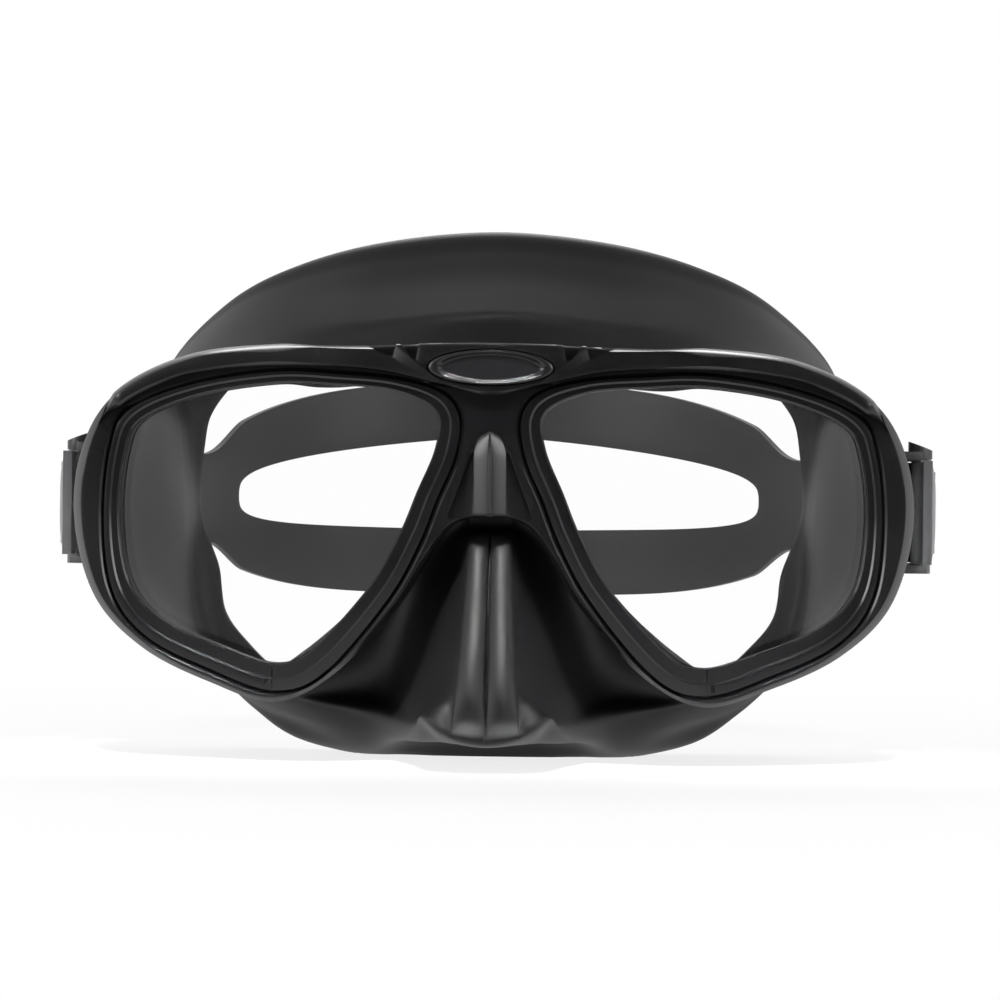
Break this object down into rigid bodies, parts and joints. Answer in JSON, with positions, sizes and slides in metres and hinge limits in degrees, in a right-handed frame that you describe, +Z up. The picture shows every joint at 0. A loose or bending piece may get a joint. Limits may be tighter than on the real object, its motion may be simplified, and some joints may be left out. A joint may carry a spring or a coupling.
{
  "type": "diving mask",
  "caption": "Low-volume diving mask: raked glass lenses in a bridged frame, silicone skirt with a nose pocket, and a split strap on swivelling release buckles.",
  "frame": {"origin": "middle of the overall box at the level of the skirt's flattened lower edge, on which the mask stands", "axes": "+X to the wearer's left, +Y from the lenses back to the head, +Z up; the lenses look along -Y"},
  "size_m": [0.1726, 0.2092, 0.1029],
  "materials": {
    "frame_plastic": "moulded black, semi-gloss",
    "trim_plastic": "moulded black, semi-gloss",
    "badge_plastic": "moulded black, bare",
    "ring_plastic": "moulded black, glossy",
    "lens_glass": "clear tempered glass",
    "skirt_silicone": "satin black silicone",
    "strap_silicone": "satin black silicone",
    "buckle_plastic": "dark grey, fine texture",
    "lever_plastic": "dark grey, fine texture",
    "pin_steel": "stainless steel"
  },
  "bodies": {
    "mask": {"main_frame": "frame_plastic", "brow_trim": "trim_plastic", "bridge_badge": "badge_plastic", "left_lens_ring": "ring_plastic", "right_lens_ring": "ring_plastic", "left_lens": "lens_glass", "right_lens": "lens_glass", "skirt": "skirt_silicone", "left_swivel_stud": "pin_steel", "left_swivel_cap": "pin_steel", "right_swivel_stud": "pin_steel", "right_swivel_cap": "pin_steel"},
    "strap_loop": {"strap": "strap_silicone", "left_buckle_body": "buckle_plastic", "left_roller_axle": "pin_steel", "left_lever_pin": "pin_steel", "right_buckle_body": "buckle_plastic", "right_roller_axle": "pin_steel", "right_lever_pin": "pin_steel"},
    "left_lever": {"left_release_lever": "lever_plastic"},
    "left_roller": {"left_strap_roller": "pin_steel"},
    "right_lever": {"right_release_lever": "lever_plastic"},
    "right_roller": {"right_strap_roller": "pin_steel"}
  },
  "joints": [
    {"name": "strap_swing", "type": "hinge", "parent": "mask", "child": "strap_loop", "pos_m": [0, -0.04927, 0.0487], "axis": [1, 0, 0], "range_deg": [-50, 75]},
    {"name": "left_release_press", "type": "hinge", "parent": "strap_loop", "child": "left_lever", "pos_m": [0.0839, -0.04127, 0.0487], "axis": [0, 0, -1], "range_deg": [0, 10], "stiffness_Nm_per_rad": 0.3, "springref_deg": -5.73},
    {"name": "left_roller_spin", "type": "hinge", "parent": "strap_loop", "child": "left_roller", "pos_m": [0.0806, -0.03127, 0.0487], "axis": [0, 0, 1], "continuous": true},
    {"name": "right_release_press", "type": "hinge", "parent": "strap_loop", "child": "right_lever", "pos_m": [-0.0839, -0.04127, 0.0487], "axis": [0, 0, 1], "range_deg": [0, 10], "stiffness_Nm_per_rad": 0.3, "springref_deg": -5.73},
    {"name": "right_roller_spin", "type": "hinge", "parent": "strap_loop", "child": "right_roller", "pos_m": [-0.0806, -0.03127, 0.0487], "axis": [0, 0, 1], "continuous": true}
  ]
}
